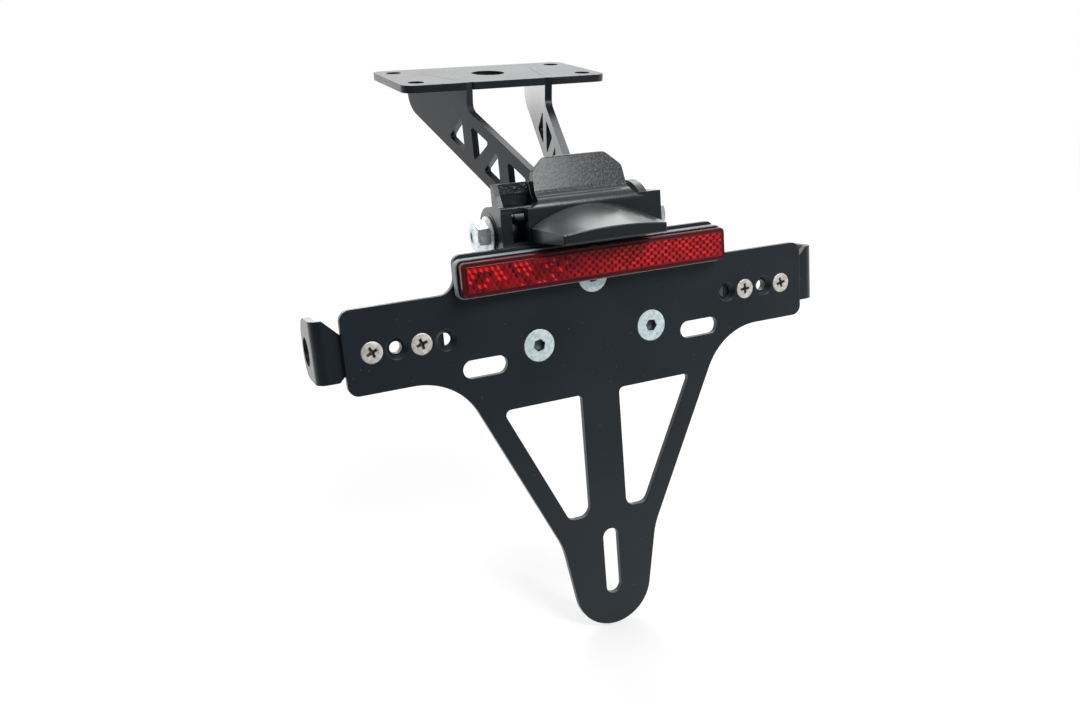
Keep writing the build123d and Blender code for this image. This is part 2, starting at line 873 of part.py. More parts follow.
with BuildPart() as reflector_seal:
    with BuildSketch(head.offset(case_back + reflector_floor)):
        add(seal_outline)
        add(lens_outline, mode=Mode.SUBTRACT)
    extrude(amount=reflector_case_depth - reflector_floor)
reflector_seal.part.label = "reflector_seal"
export_step(reflector_seal.part, "parts/reflector_seal.step")

with BuildPart() as reflector_lens:
    with BuildSketch(head.offset(case_back + reflector_floor)):
        add(lens_outline)
    extrude(amount=reflector_case_depth - reflector_floor + reflector_lens_proud)
    lens_face = reflector_lens.faces().sort_by(Axis(head_origin, out_axis))[-1]
    fillet(lens_face.edges(), reflector_edge)
reflector_lens.part.label = "reflector_lens"
export_step(reflector_lens.part, "parts/reflector_lens.step")


# Indicator brackets, folded behind the carrier
bracket_front = -carrier_thickness
bracket_rear = bracket_front - bracket_thickness
flange_inner = bracket_outer - bracket_thickness
ear_start = bracket_outer - bracket_ear_reach
ear_slope = bracket_ear_top - bracket_strip_height / 2
low_slope = -bracket_ear_bottom - bracket_strip_height / 2
with BuildPart() as right_indicator_bracket:
    with BuildSketch(level(bracket_ear_bottom)) as fold:
        with BuildLine():
            FilletPolyline(
                (bracket_inner, -bracket_front),
                (bracket_outer, -bracket_front),
                (bracket_outer, bracket_back),
                (flange_inner, bracket_back),
                (flange_inner, -bracket_rear),
                (bracket_inner, -bracket_rear),
                radius=[0, bracket_bend + bracket_thickness, 0, 0, bracket_bend, 0],
                close=True,
            )
        make_face()
    extrude(amount=bracket_ear_top - bracket_ear_bottom)
    # Front outline: a strip that widens at the fold
    with BuildSketch(head.offset(-bracket_back)):
        with BuildLine():
            Polyline(
                (bracket_inner, bracket_strip_height / 2),
                (ear_start, bracket_strip_height / 2),
                (ear_start + ear_slope, bracket_ear_top),
                (bracket_outer, bracket_ear_top),
                (bracket_outer, bracket_ear_bottom),
                (ear_start + low_slope, bracket_ear_bottom),
                (ear_start, -bracket_strip_height / 2),
                (bracket_inner, -bracket_strip_height / 2),
                close=True,
            )
        make_face()
    extrude(amount=bracket_back, mode=Mode.INTERSECT)
    # Side outline of the flange
    with BuildSketch(across(bracket_inner)):
        with BuildLine():
            FilletPolyline(
                (bracket_ear_bottom, 0),
                (bracket_ear_top, 0),
                (bracket_ear_top, -bracket_back),
                (bracket_ear_bottom, -bracket_back),
                radius=[0, 0, bracket_upper_corner, bracket_lower_corner],
                close=True,
            )
        make_face()
    extrude(amount=bracket_outer - bracket_inner, mode=Mode.INTERSECT)
    # Indicator hole and the row of screw holes
    with BuildSketch(across(bracket_outer)):
        with Locations((indicator_height, -indicator_behind)):
            Circle(indicator_hole / 2)
    extrude(amount=-2 * bracket_thickness, mode=Mode.SUBTRACT)
    with BuildSketch(head.offset(bracket_front)):
        with Locations(*[(x, 0) for x in row_screw_x + row_open_x[1:]]):
            Circle(small_thread / 2 + screw_clearance / 2)
    extrude(amount=-bracket_thickness, mode=Mode.SUBTRACT)
right_indicator_bracket.part.label = "right_indicator_bracket"
export_step(right_indicator_bracket.part, "parts/right_indicator_bracket.step")

with BuildPart() as left_indicator_bracket:
    mirror(right_indicator_bracket.part, about=Plane.YZ)
left_indicator_bracket.part.label = "left_indicator_bracket"
export_step(left_indicator_bracket.part, "parts/left_indicator_bracket.step")


# Bracket screws and nuts
with BuildSketch(Plane.XY) as cross_recess:
    SlotOverall(cross_recess_length, cross_recess_width)
    SlotOverall(cross_recess_length, cross_recess_width, rotation=90)
small_screw = countersunk_screw(
    small_head, small_thread, small_length, cross_recess.sketch, cross_recess_depth
)
with BuildPart() as bracket_screws:
    with Locations(head):
        with Locations(*[(side * x, 0) for side in sides for x in row_screw_x]):
            add(small_screw)
bracket_screws.part.label = "bracket_screws"
export_step(bracket_screws.part, "parts/bracket_screws.step")

with BuildPart() as bracket_nuts:
    with BuildSketch(head.offset(bracket_rear)):
        with Locations(*[(side * x, 0) for side in sides for x in row_screw_x]):
            RegularPolygon(small_nut_flats / 2, 6, major_radius=False)
            Circle(small_thread / 2 + weld_gap, mode=Mode.SUBTRACT)
    extrude(amount=-small_nut_height)
bracket_nuts.part.label = "bracket_nuts"
export_step(bracket_nuts.part, "parts/bracket_nuts.step")


# Hub screws and the inserts that they pull on
with BuildSketch(Plane.XY) as socket_recess:
    RegularPolygon(hub_socket / 2, 6, major_radius=False)
hub_screw = countersunk_screw(hub_head, hub_thread, hub_length, socket_recess.sketch, hub_socket_depth)
with BuildPart() as hub_screws:
    with Locations(head):
        with Locations((-hub_side_x, hub_side_height), (hub_side_x, hub_side_height), (0, hub_top_height)):
            add(hub_screw)
hub_screws.part.label = "hub_screws"
export_step(hub_screws.part, "parts/hub_screws.step")

with BuildPart() as hub_inserts:
    with BuildSketch(head.offset(pad_back)):
        with Locations((-hub_side_x, hub_side_height), (hub_side_x, hub_side_height), (0, hub_top_height)):
            Circle(hub_insert_diameter / 2)
            Circle(hub_thread / 2 + weld_gap, mode=Mode.SUBTRACT)
    extrude(amount=hub_insert_length)
hub_inserts.part.label = "hub_inserts"
export_step(hub_inserts.part, "parts/hub_inserts.step")
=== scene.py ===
"""A motorbike tail tidy in a white studio.

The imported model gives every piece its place. Each sub-assembly here is a class that copies or
builds the visible surface of its pieces, softens their edges and gives them their finish.
"""

import json
import logging
from dataclasses import dataclass
from enum import Enum
from functools import cached_property
from math import cos, pi, radians, sin, tan
from typing import Callable, Iterable, Sequence

import bmesh
import bpy
from mathutils import Matrix, Vector


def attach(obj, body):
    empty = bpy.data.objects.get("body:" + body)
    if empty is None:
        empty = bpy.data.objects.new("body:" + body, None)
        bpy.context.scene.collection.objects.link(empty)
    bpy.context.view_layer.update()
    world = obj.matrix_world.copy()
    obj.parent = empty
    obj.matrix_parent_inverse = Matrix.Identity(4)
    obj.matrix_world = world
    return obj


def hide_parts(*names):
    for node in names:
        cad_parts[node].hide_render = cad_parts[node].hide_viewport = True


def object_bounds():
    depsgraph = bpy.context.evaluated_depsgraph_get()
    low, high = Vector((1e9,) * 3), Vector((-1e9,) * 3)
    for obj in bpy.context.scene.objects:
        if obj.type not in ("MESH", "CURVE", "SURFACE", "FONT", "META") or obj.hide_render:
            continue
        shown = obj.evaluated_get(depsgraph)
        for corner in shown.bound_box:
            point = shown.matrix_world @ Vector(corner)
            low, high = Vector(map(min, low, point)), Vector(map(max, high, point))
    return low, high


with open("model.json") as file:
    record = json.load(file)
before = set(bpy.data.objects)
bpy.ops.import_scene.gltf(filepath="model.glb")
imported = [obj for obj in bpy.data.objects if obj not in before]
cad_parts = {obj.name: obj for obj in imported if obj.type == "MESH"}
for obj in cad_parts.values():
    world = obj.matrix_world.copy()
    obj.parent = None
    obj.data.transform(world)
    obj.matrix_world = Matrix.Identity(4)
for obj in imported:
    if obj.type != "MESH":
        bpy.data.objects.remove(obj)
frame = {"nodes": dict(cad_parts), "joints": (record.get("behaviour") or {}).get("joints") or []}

MM = 0.001
CAD_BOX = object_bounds()
HEX_CHAMFER = tan(radians(30))
UNIT = (0.0, 1.0)

Point = Colour = tuple[float, float, float]
Box = tuple[float, float, float, float]
Span = tuple[float, float]
Node = bpy.types.Node
Outputs = bpy.types.NodeOutputs
Socket = bpy.types.NodeSocket
Material = bpy.types.Material
Solid = bmesh.types.BMesh

log = logging.getLogger("tail_tidy")


class Body(Enum):
    """The two bodies that the hinge joins."""

    BASE = "base"
    HEAD = "plate_head"


class Slot(Enum):
    """The record's material slots."""

    POWDER_COAT = "powder_coat"
    BRIGHT_ZINC = "bright_zinc"
    BLUE_ZINC = "blue_zinc"
    STAINLESS = "stainless"
    BRASS = "brass_insert"
    TEXTURED = "textured_moulding"
    SMOOTH = "smooth_moulding"
    GREY = "grey_moulding"
    RUBBER = "black_rubber"
    RED = "red_prism"
    CLEAR = "clear_lens"
    BOARD = "circuit_board"
    DIODE = "diode"


@dataclass(frozen=True)
class HeadFrame:
    """The leaning head's own axes: x across, y up along the carrier and z out of its face."""

    tilt: float = radians(11.5)
    hinge_up: float = 32.0
    hinge_out: float = -16.0

    def matrix(self) -> Matrix:
        """Turn and place of the head's axes in the row frame.

        Returns:
            A matrix that takes head millimetres to row metres.
        """
        up = Vector((0, sin(self.tilt), cos(self.tilt)))
        out = Vector((0, -cos(self.tilt), sin(self.tilt)))
        hinge = Vector(frame["joints"][0]["pos_m"])
        origin = hinge - (up * self.hinge_up + out * self.hinge_out) * MM
        turn = Matrix(((1, up.x, out.x), (0, up.y, out.y), (0, up.z, out.z))).to_4x4()
        return Matrix.Translation(origin) @ turn @ Matrix.Scale(MM, 4)


HEAD_MATRIX = HeadFrame().matrix()


class Wiring:
    """Short calls that build a node tree. Each takes numbers, or the sockets that give them."""

    def __init__(self, tree: bpy.types.NodeTree) -> None:
        """Keep the tree that the nodes go into."""
        self.tree = tree

    def node(self, kind: str, inputs: dict | None = None, **settings: object) -> Node:
        """Add a node.

        Args:
            kind: The node's type, without its ShaderNode prefix.
            inputs: Socket values, or the sockets that feed them.
            settings: The node's own settings.

        Returns:
            The new node.
        """
        made = self.tree.nodes.new("ShaderNode" + kind)
        for key, value in settings.items():
            setattr(made, key, value)
        self.give(made, inputs or {})
        return made

    def give(self, node: Node, inputs: dict) -> None:
        """Give a node's inputs their values.

        Args:
            node: The node.
            inputs: Socket values, or the sockets that feed them.
        """
        for key, value in inputs.items():
            if isinstance(value, Socket):
                self.tree.links.new(value, node.inputs[key])
            else:
                node.inputs[key].default_value = value

    def math(self, operation: str, *values: object) -> Socket:
        """Add a math node and give its result."""
        return self.node("Math", dict(enumerate(values)), operation=operation).outputs[0]

    def measure(self, operation: str, *vectors: object) -> Socket:
        """Add a vector node whose result is a number, and give that."""
        made = self.node("VectorMath", dict(enumerate(vectors)), operation=operation)
        return made.outputs["Value"]

    def remap(self, value: Socket, source: Span, target: Span = UNIT) -> Socket:
        """Map one range of values onto another, stopping at its ends."""
        return self.node("MapRange", dict(enumerate((value, *source, *target)))).outputs[0]

    def noise(self, place: Socket, scale: object, detail: float = 2.0) -> Socket:
        """Add a noise texture and give its grey value."""
        made = self.node("TexNoise", {"Vector": place, "Scale": scale, "Detail": detail})
        return made.outputs["Fac"]

    def mix(self, factor: object, first: object, second: object) -> Socket:
        """Add a colour mix.

        Args:
            factor: The share of the second colour.
            first: A colour, or the socket that gives it.
            second: A colour, or the socket that gives it.

        Returns:
            The mixed colour's socket.
        """
        # A Mix node's colours are its inputs 6 and 7, and its mixed colour is its output 2
        inputs = {0: factor, 6: first, 7: second}
        for key, value in inputs.items():
            if isinstance(value, tuple):
                inputs[key] = (*value, 1.0)
        return self.node("Mix", inputs, data_type="RGBA").outputs[2]


class Surface(Wiring):
    """A material's wiring, with its shader, its Object coordinates and the head's own axes."""

    def __init__(self, name: str) -> None:
        """Make the material.

        Args:
            name: The material's name.
        """
        self.material = bpy.data.materials.new(name)
        self.material.use_nodes = True
        super().__init__(self.material.node_tree)
        self.shader = self.tree.nodes["Principled BSDF"]
        self.place = self.node("TexCoord").outputs["Object"]

    def set(self, inputs: dict) -> None:
        """Give the shader its values, or the sockets that feed them."""
        self.give(self.shader, inputs)

    @cached_property
    def axes(self) -> tuple[Socket, Socket, Socket]:
        """The place in the head's own millimetres.

        Returns:
            Sockets for across, up and out.
        """
        inputs = {
            "Vector": self.place,
            "Location": HEAD_MATRIX.translation,
            "Rotation": HEAD_MATRIX.to_euler(),
            "Scale": (MM, MM, MM),
        }
        flat = self.node("Mapping", inputs, vector_type="TEXTURE").outputs[0]
        return tuple(self.node("SeparateXYZ", {0: flat}).outputs)


class Effect:
    """An effect that several finishes share, built on its first use as a node group."""

    name: str
    numbers: dict[str, float]
    fill: Callable[[Wiring, Outputs], dict[str, Socket]]
    tree: bpy.types.NodeTree | None = None

    @classmethod
    def build(cls) -> bpy.types.NodeTree:
        """Build the group.

        Returns:
            The group's tree.
        """
        tree = bpy.data.node_groups.new(cls.name, "ShaderNodeTree")
        tree.interface.new_socket("Vector", in_out="INPUT", socket_type="NodeSocketVector")
        for label, value in cls.numbers.items():
            socket = tree.interface.new_socket(label, in_out="INPUT", socket_type="NodeSocketFloat")
            socket.default_value = value
        start = tree.nodes.new("NodeGroupInput")
        end = tree.nodes.new("NodeGroupOutput")
        for label, source in cls.fill(Wiring(tree), start.outputs).items():
            tree.interface.new_socket(label, in_out="OUTPUT", socket_type="NodeSocketFloat")
            tree.links.new(source, end.inputs[label])
        return tree

    @classmethod
    def put(cls, surface: Surface, **numbers: float) -> Outputs:
        """Put the effect into a material.

        Args:
            surface: The material's surface.
            numbers: The material's own values, by the names of the group's inputs.

        Returns:
            What the group puts out.
        """
        cls.tree = cls.tree or cls.build()
        inputs = {"Vector": surface.place, **numbers}
        return surface.node("Group", inputs, node_tree=cls.tree).outputs


class RollingGrain(Effect):
    """Fine rolling grain, as on powder coat, with broad patches under it."""

    name = "rolling_grain"
    numbers = {"Scale": 1600.0, "Patch Scale": 40.0}

    @staticmethod
    def fill(wiring: Wiring, start: Outputs) -> dict[str, Socket]:
        """Give the grain's height and the patches."""
        patches = wiring.noise(start["Vector"], start["Patch Scale"], detail=3.0)
        return {"Height": wiring.noise(start["Vector"], start["Scale"]), "Patch": patches}


class DustSpecks(Effect):
    """Scattered pale dust specks."""

    name = "dust_specks"
    numbers = {"Scale": 700.0, "Size": 0.16, "Share": 0.06}

    @staticmethod
    def fill(wiring: Wiring, start: Outputs) -> dict[str, Socket]:
        """Mask the middles of a chosen share of random cells.

        Args:
            wiring: The group's wiring.
            start: The group's inputs.

        Returns:
            The specks' mask.
        """
        cells = wiring.node("TexVoronoi", {"Vector": start["Vector"], "Scale": start["Scale"]})
        chance = wiring.node("SeparateColor", {0: cells.outputs["Color"]}).outputs[0]
        near = wiring.math("LESS_THAN", cells.outputs["Distance"], start["Size"])
        chosen = wiring.math("LESS_THAN", chance, start["Share"])
        return {"Mask": wiring.math("MULTIPLY", near, chosen)}


class PebbledGrain(Effect):
    """Pebbled grain of a spark-eroded mould."""

    name = "pebbled_grain"
    numbers = {"Scale": 1000.0, "Warp": 0.0006}
    fine_scale = 2.6
    fine_height = 0.45

    @classmethod
    def fill(cls, wiring: Wiring, start: Outputs) -> dict[str, Socket]:
        """Bend the pebbles' outlines and lay a finer grain over them.

        Args:
            wiring: The group's wiring.
            start: The group's inputs.

        Returns:
            The grain's height.
        """
        place, scale = start["Vector"], start["Scale"]
        warp = wiring.node("TexNoise", {"Vector": place, "Scale": scale, "Detail": 1.0})
        shift = {0: warp.outputs["Color"], "Scale": start["Warp"]}
        shift = wiring.node("VectorMath", shift, operation="SCALE").outputs[0]
        bent = wiring.node("VectorMath", {0: place, 1: shift}, operation="ADD").outputs[0]
        pebbles = wiring.node("TexVoronoi", {"Vector": bent, "Scale": scale}, feature="SMOOTH_F1")
        domes = wiring.math("SUBTRACT", 1.0, pebbles.outputs["Distance"])
        fine = wiring.noise(place, wiring.math("MULTIPLY", scale, cls.fine_scale))
        fine = wiring.math("MULTIPLY", fine, cls.fine_height)
        return {"Height": wiring.math("ADD", domes, fine)}


class PlatingMarks(Effect):
    """Mottled plating with fine scratches."""

    name = "plating_marks"
    numbers = {"Scale": 700.0}
    stretch = (1.0, 9.0, 0.6)
    scratch_scale = 3.0

    @classmethod
    def fill(cls, wiring: Wiring, start: Outputs) -> dict[str, Socket]:
        """Draw the mottle, and a finer noise stretched into scratches.

        Args:
            wiring: The group's wiring.
            start: The group's inputs.

        Returns:
            The mottle and the scratches.
        """
        mottle = wiring.noise(start["Vector"], start["Scale"], detail=4.0)
        drawn = wiring.node("Mapping", {"Vector": start["Vector"], "Scale": cls.stretch}).outputs[0]
        scale = wiring.math("MULTIPLY", start["Scale"], cls.scratch_scale)
        return {"Mottle": mottle, "Lines": wiring.noise(drawn, scale, detail=3.0)}


@dataclass(frozen=True)
class Finish:
    """What every finish has: its slot, a colour, a gloss and a relief."""

    slot: Slot
    colour: Colour
    roughness: float
    spread: float = 0.18
    strength: float = 0.3
    relief: float = 0.00003
    mask_range: Span = (0.3, 0.7)
    gloss_range: Span = (0.9, 1.12)

    def start(self, own: dict[str, float] | None = None) -> Surface:
        """Begin a material.

        Args:
            own: The shader's own values, by the names of its sockets.

        Returns:
            The material's surface.
        """
        surface = Surface(self.slot.value)
        colour = (*self.colour, 1.0)
        surface.material.diffuse_color = colour
        surface.set({"Base Color": colour, "Roughness": self.roughness, **(own or {})})
        return surface

    def bump(self, surface: Surface, height: Socket) -> None:
        """Raise the surface by a height, as far as the finish's own relief."""
        inputs = {"Height": height, "Strength": self.strength, "Distance": self.relief}
        surface.set({"Normal": surface.node("Bump", inputs).outputs["Normal"]})

    def shade(self, surface: Surface, mask: Socket) -> Socket:
        """Vary the colour and the gloss by a mask.

        Args:
            surface: The material's surface.
            mask: The mask's socket, about 0.5 on average.

        Returns:
            The colour's socket.
        """
        spread = (1 - self.spread, 1 + self.spread)
        low, high = (tuple(channel * share for channel in self.colour) for share in spread)
        gloss = tuple(self.roughness * share for share in self.gloss_range)
        tone = surface.mix(surface.remap(mask, self.mask_range), low, high)
        surface.set({"Base Color": tone, "Roughness": surface.remap(mask, self.mask_range, gloss)})
        return tone


@dataclass(frozen=True)
class PowderCoat(Finish):
    """Satin black powder coat: a fine rolling grain with a few dust specks."""

    relief: float = 0.00005
    grain_scale: float = 1500.0
    density: float = 1.32
    coat: float = 0.9
    coat_roughness: float = 0.26
    speck_share: float = 0.035
    speck_colour: Colour = (0.07, 0.075, 0.08)

    def material(self) -> Material:
        """Build the material.

        Returns:
            The powder coat.
        """
        own = {
            "IOR": self.density,
            "Coat Weight": self.coat,
            "Coat Roughness": self.coat_roughness,
            "Coat IOR": self.density,
        }
        surface = self.start(own)
        grain = RollingGrain.put(surface, Scale=self.grain_scale)
        specks = DustSpecks.put(surface, Share=self.speck_share)
        tone = self.shade(surface, grain["Patch"])
        surface.set({"Base Color": surface.mix(specks["Mask"], tone, self.speck_colour)})
        self.bump(surface, grain["Height"])
        return surface.material


@dataclass(frozen=True)
class Moulding(Finish):
    """Black moulded plastic, from smooth satin to a coarse pebbled grain."""

    spread: float = 0.12
    strength: float = 0.06
    pebbled: bool = False
    pebble_scale: float = 1080.0
    grain_foot: Span = (45.2, 46.4)
    grain_share: Span = (0.1, 1.0)
    coat: float = 0.0
    coat_roughness: float = 0.3

    def material(self) -> Material:
        """Build the material.

        Returns:
            The moulding's finish.
        """
        surface = self.start({"Coat Weight": self.coat, "Coat Roughness": self.coat_roughness})
        grain = RollingGrain.put(surface)
        self.shade(surface, grain["Patch"])
        height = grain["Height"]
        if self.pebbled:
            # The coarse grain stays on the shield; the rest of the moulding is finer
            pebbles = PebbledGrain.put(surface, Scale=self.pebble_scale)
            share = surface.remap(surface.axes[1], self.grain_foot, self.grain_share)
            height = surface.math("MULTIPLY", pebbles["Height"], share)
        self.bump(surface, height)
        return surface.material


@dataclass(frozen=True)
class Metal(Finish):
    """Plated or plain steel, or brass, with a mottled gloss, and painted shade in a screw's drive
    recess.
    """

    strength: float = 0.12
    painted_recess_shade: bool = False
    recess_mouth: Span = (-0.55, -0.08)
    recess_floor: Span = (-3.2, -2.9)
    recess_shade_factor: float = 0.2

    def material(self) -> Material:
        """Build the material.

        Returns:
            The metal.
        """
        surface = self.start({"Metallic": 1.0})
        marks = PlatingMarks.put(surface)
        plain = self.shade(surface, marks["Mottle"])
        if self.painted_recess_shade:
            # Painted shade: the drive recess of a screw is darkened by depth, standing in for its
            # shadow; its shank below that is plain again
            out = surface.axes[2]
            face = surface.remap(out, self.recess_mouth)
            shank = surface.remap(out, self.recess_floor, (1.0, 0.0))
            dark = tuple(channel * self.recess_shade_factor for channel in self.colour)
            tone = surface.mix(surface.math("MAXIMUM", face, shank), dark, plain)
            surface.set({"Base Color": tone})
        self.bump(surface, marks["Lines"])
        return surface.material


@dataclass(frozen=True)
class Rubber(Finish):
    """Dull black rubber or foam."""

    spread: float = 0.2
    strength: float = 0.4
    relief: float = 0.00006
    pore_scale: float = 2600.0

    def material(self) -> Material:
        """Build the material.

        Returns:
            The rubber.
        """
        surface = self.start()
        pores = RollingGrain.put(surface, Scale=self.pore_scale)
        self.shade(surface, pores["Patch"])
        self.bump(surface, pores["Height"])
        return surface.material


@dataclass(frozen=True)
class PrismRed(Finish):
    """Red reflector: a clear outer face over rows of three-sided prisms, with painted glints, painted
    facet shade and painted highlight dashes in its colour.

    Its sizes are millimetres on the head's face. A dash's length and a dot's start are shares of
    a dash's pitch, and a row's half width is a share of a row's pitch.
    """

    strength: float = 0.25
    relief: float = 0.0001
    # The glint colour is a painted highlight; the facet, dash and dot values paint light and shade
    # into the colour
    painted_glint: Colour = (1.0, 0.026, 0.022)
    body: Colour = (0.5, 0.007, 0.018)
    deep: Colour = (0.035, 0.0007, 0.003)
    border: Colour = (0.1, 0.0014, 0.007)
    field: Box = (-50.6, 50.6, 16.1, 24.5)
    dash_fade: Span = (-13.4, 12.0)
    pitch: float = 2.1
    glint_odds: Span = (0.84, 0.44)
    painted_facet_shade: float = 0.22
    prism_shade: float = 0.5
    right_shade: Span = (0.4, 0.9)
    dash_pitch: Span = (3.0, 1.25)
    dash_length: float = 0.58
    painted_dash_light: Span = (0.12, 1.0)
    dash_level: Span = (0.25, 1.0)
    dot_start: float = 0.68
    painted_dot_shade: float = 0.85
    row_half: float = 0.36
    dash_seed: float = 3.0
    prism_seed: float = 7.0
    last_sector: float = 2.999

    def material(self) -> Material:
        """Build the material.

        Returns:
            The reflector's finish.
        """
        surface = self.start()
        across, up, _ = surface.axes
        chance, other, facet, edge = self.prisms(surface)
        # Left: painted glints: a few prisms get a painted highlight, more of them in the upper rows;
        # the rest get painted shade by facet
        odds = surface.remap(up, self.field[2:], self.glint_odds)
        first = surface.math("LESS_THAN", facet, 0.5)
        painted_glint_mask = surface.math("MULTIPLY", surface.math("GREATER_THAN", chance, odds), first)
        shade = surface.math("MULTIPLY", other, self.prism_shade)
        shade = surface.math("MULTIPLY_ADD", facet, self.painted_facet_shade, shade)
        left = surface.mix(painted_glint_mask, surface.mix(shade, self.deep, self.body), self.painted_glint)
        # Middle and right: rows of painted highlight dashes between painted dark dots, the painted
        # light brighter towards the right
        dashes, dots = self.dashes(surface)
        light = surface.remap(across, self.dash_fade, self.painted_dash_light)
        right = surface.remap(other, UNIT, self.right_shade)
        right = surface.mix(right, self.deep, self.body)
        right = surface.mix(surface.math("MULTIPLY", dots, self.painted_dot_shade), right, self.deep)
        right = surface.mix(surface.math("MULTIPLY", dashes, light), right, self.painted_glint)
        tone = surface.mix(surface.math("GREATER_THAN", across, self.dash_fade[0]), left, right)
        surface.set({"Base Color": surface.mix(self.outside(surface), tone, self.border)})
        self.bump(surface, edge)
        return surface.material

    def dashes(self, surface: Surface) -> tuple[Socket, Socket]:
        """Rows of painted highlight dashes and painted dark dots, each row half a dash on from the
        last.

        Args:
            surface: The material's surface.

        Returns:
            Masks of the dashes, some brighter than others, and of the dots between them.
        """
        across, up, _ = surface.axes
        rows = surface.math("DIVIDE", up, self.dash_pitch[1])
        row = surface.math("FLOOR", rows)
        shift = surface.math("MULTIPLY", surface.math("PINGPONG", row, 1.0), 0.5)
        columns = surface.math("ADD", surface.math("DIVIDE", across, self.dash_pitch[0]), shift)
        column = surface.math("FLOOR", columns)
        along = surface.math("SUBTRACT", columns, column)
        over = surface.math("SUBTRACT", surface.math("SUBTRACT", rows, row), 0.5)
        inside = surface.math("LESS_THAN", surface.math("ABSOLUTE", over), self.row_half)
        cell = surface.node("CombineXYZ", {0: column, 1: row, 2: self.dash_seed}).outputs[0]
        level = surface.node("TexWhiteNoise", {"Vector": cell}, noise_dimensions="3D")
        level = surface.remap(level.outputs["Value"], UNIT, self.dash_level)
        dash = surface.math("LESS_THAN", along, self.dash_length)
        dash = surface.math("MULTIPLY", surface.math("MULTIPLY", dash, inside), level)
        dot = surface.math("GREATER_THAN", along, self.dot_start)
        return dash, surface.math("MULTIPLY", dot, inside)

    def outside(self, surface: Surface) -> Socket:
        """Mask of the smooth border round the field of prisms.

        Args:
            surface: The material's surface.

        Returns:
            The mask's socket.
        """
        across, up, _ = surface.axes
        left, right, bottom, top = self.field
        sides = []
        for source, low, high in ((across, left, right), (up, bottom, top)):
            away = surface.math("ABSOLUTE", surface.math("SUBTRACT", source, (low + high) / 2))
            sides.append(surface.math("GREATER_THAN", away, (high - low) / 2))
        return surface.math("MAXIMUM", *sides)

    def prisms(self, surface: Surface) -> tuple[Socket, ...]:
        """Cut the face into hexagons, each of them a prism of three faces.

        Args:
            surface: The material's surface.

        Returns:
            Two random numbers of each prism, the number of its face and that face's height.
        """
        pitches = (self.pitch, self.pitch * 3 ** 0.5)
        # The hexagons are the cells of two shifted grids; each point goes to the nearer middle
        grids = []
        for shift in (0.0, 0.5):
            cells, ends = [], []
            for source, pitch in zip(surface.axes, pitches):
                place = surface.math("ADD", surface.math("DIVIDE", source, pitch), shift)
                cells.append(surface.math("FLOOR", place))
                offset = surface.math("SUBTRACT", surface.math("SUBTRACT", place, cells[-1]), 0.5)
                ends.append(surface.math("MULTIPLY", offset, pitch))
            local = surface.node("CombineXYZ", {0: ends[0], 1: ends[1]}).outputs[0]
            seed = self.prism_seed * shift
            name = surface.node("CombineXYZ", {0: cells[0], 1: cells[1], 2: seed}).outputs[0]
            grids.append((local, name, surface.measure("LENGTH", local)))
        nearer = surface.math("LESS_THAN", grids[1][2], grids[0][2])
        # A Mix node's vectors are its inputs 4 and 5, and its mixed vector is its output 1
        local, name = (
            surface.node("Mix", {0: nearer, 4: first, 5: second}, data_type="VECTOR").outputs[1]
            for first, second in zip(grids[0][:2], grids[1][:2])
        )
        spot = surface.node("SeparateXYZ", {0: local}).outputs
        turn = surface.math("ARCTAN2", spot[0], spot[1])
        sector = surface.math("DIVIDE", surface.math("ADD", turn, pi), 2 * pi / 3)
        facet = surface.math("FLOOR", surface.math("MINIMUM", sector, self.last_sector))
        middle = surface.math("MULTIPLY_ADD", facet, 2 * pi / 3, -pi + pi / 3)
        drop = surface.math("COSINE", surface.math("SUBTRACT", turn, middle))
        height = surface.math("MULTIPLY", drop, surface.measure("LENGTH", local))
        chance = surface.node("TexWhiteNoise", {"Vector": name}, noise_dimensions="3D").outputs
        other = surface.node("SeparateColor", {0: chance["Color"]}).outputs[1]
        return chance["Value"], other, facet, height


@dataclass(frozen=True)
class ClearMoulding(Finish):
    """Clear lamp lens with a faint prism pattern."""

    relief: float = 0.0001
    density: float = 1.49
    ripple_scale: float = 500.0

    def material(self) -> Material:
        """Build the material.

        Returns:
            The lens's finish.
        """
        surface = self.start({"Transmission Weight": 1.0, "IOR": self.density})
        inputs = {"Vector": surface.place, "Scale": self.ripple_scale}
        ripples = surface.node("TexWave", inputs, bands_direction="X")
        self.bump(surface, ripples.outputs["Fac"])
        return surface.material


@dataclass(frozen=True)
class CircuitBoard(Finish):
    """Green solder mask with paler tracks."""

    track: Colour = (0.05, 0.22, 0.09)
    track_scale: float = 300.0
    track_width: float = 0.04

    def material(self) -> Material:
        """Build the material.

        Returns:
            The board's finish.
        """
        surface = self.start()
        pattern = {"Scale": self.track_scale, "Mortar Size": self.track_width}
        tracks = surface.node("TexBrick", {"Vector": surface.place, **pattern}).outputs["Fac"]
        surface.set({"Base Color": surface.mix(tracks, self.colour, self.track)})
        return surface.material


@dataclass(frozen=True)
class Diode(Finish):
    """White diode case with a yellow phosphor window."""

    case: Colour = (0.85, 0.85, 0.82)
    spot_scale: float = 330.0
    window: float = 0.35

    def material(self) -> Material:
        """Build the material.

        Returns:
            The diodes' finish.
        """
        surface = self.start()
        spots = surface.node("TexVoronoi", {"Vector": surface.place, "Scale": self.spot_scale})
        window = surface.math("LESS_THAN", spots.outputs["Distance"], self.window)
        surface.set({"Base Color": surface.mix(window, self.case, self.colour)})
        return surface.material


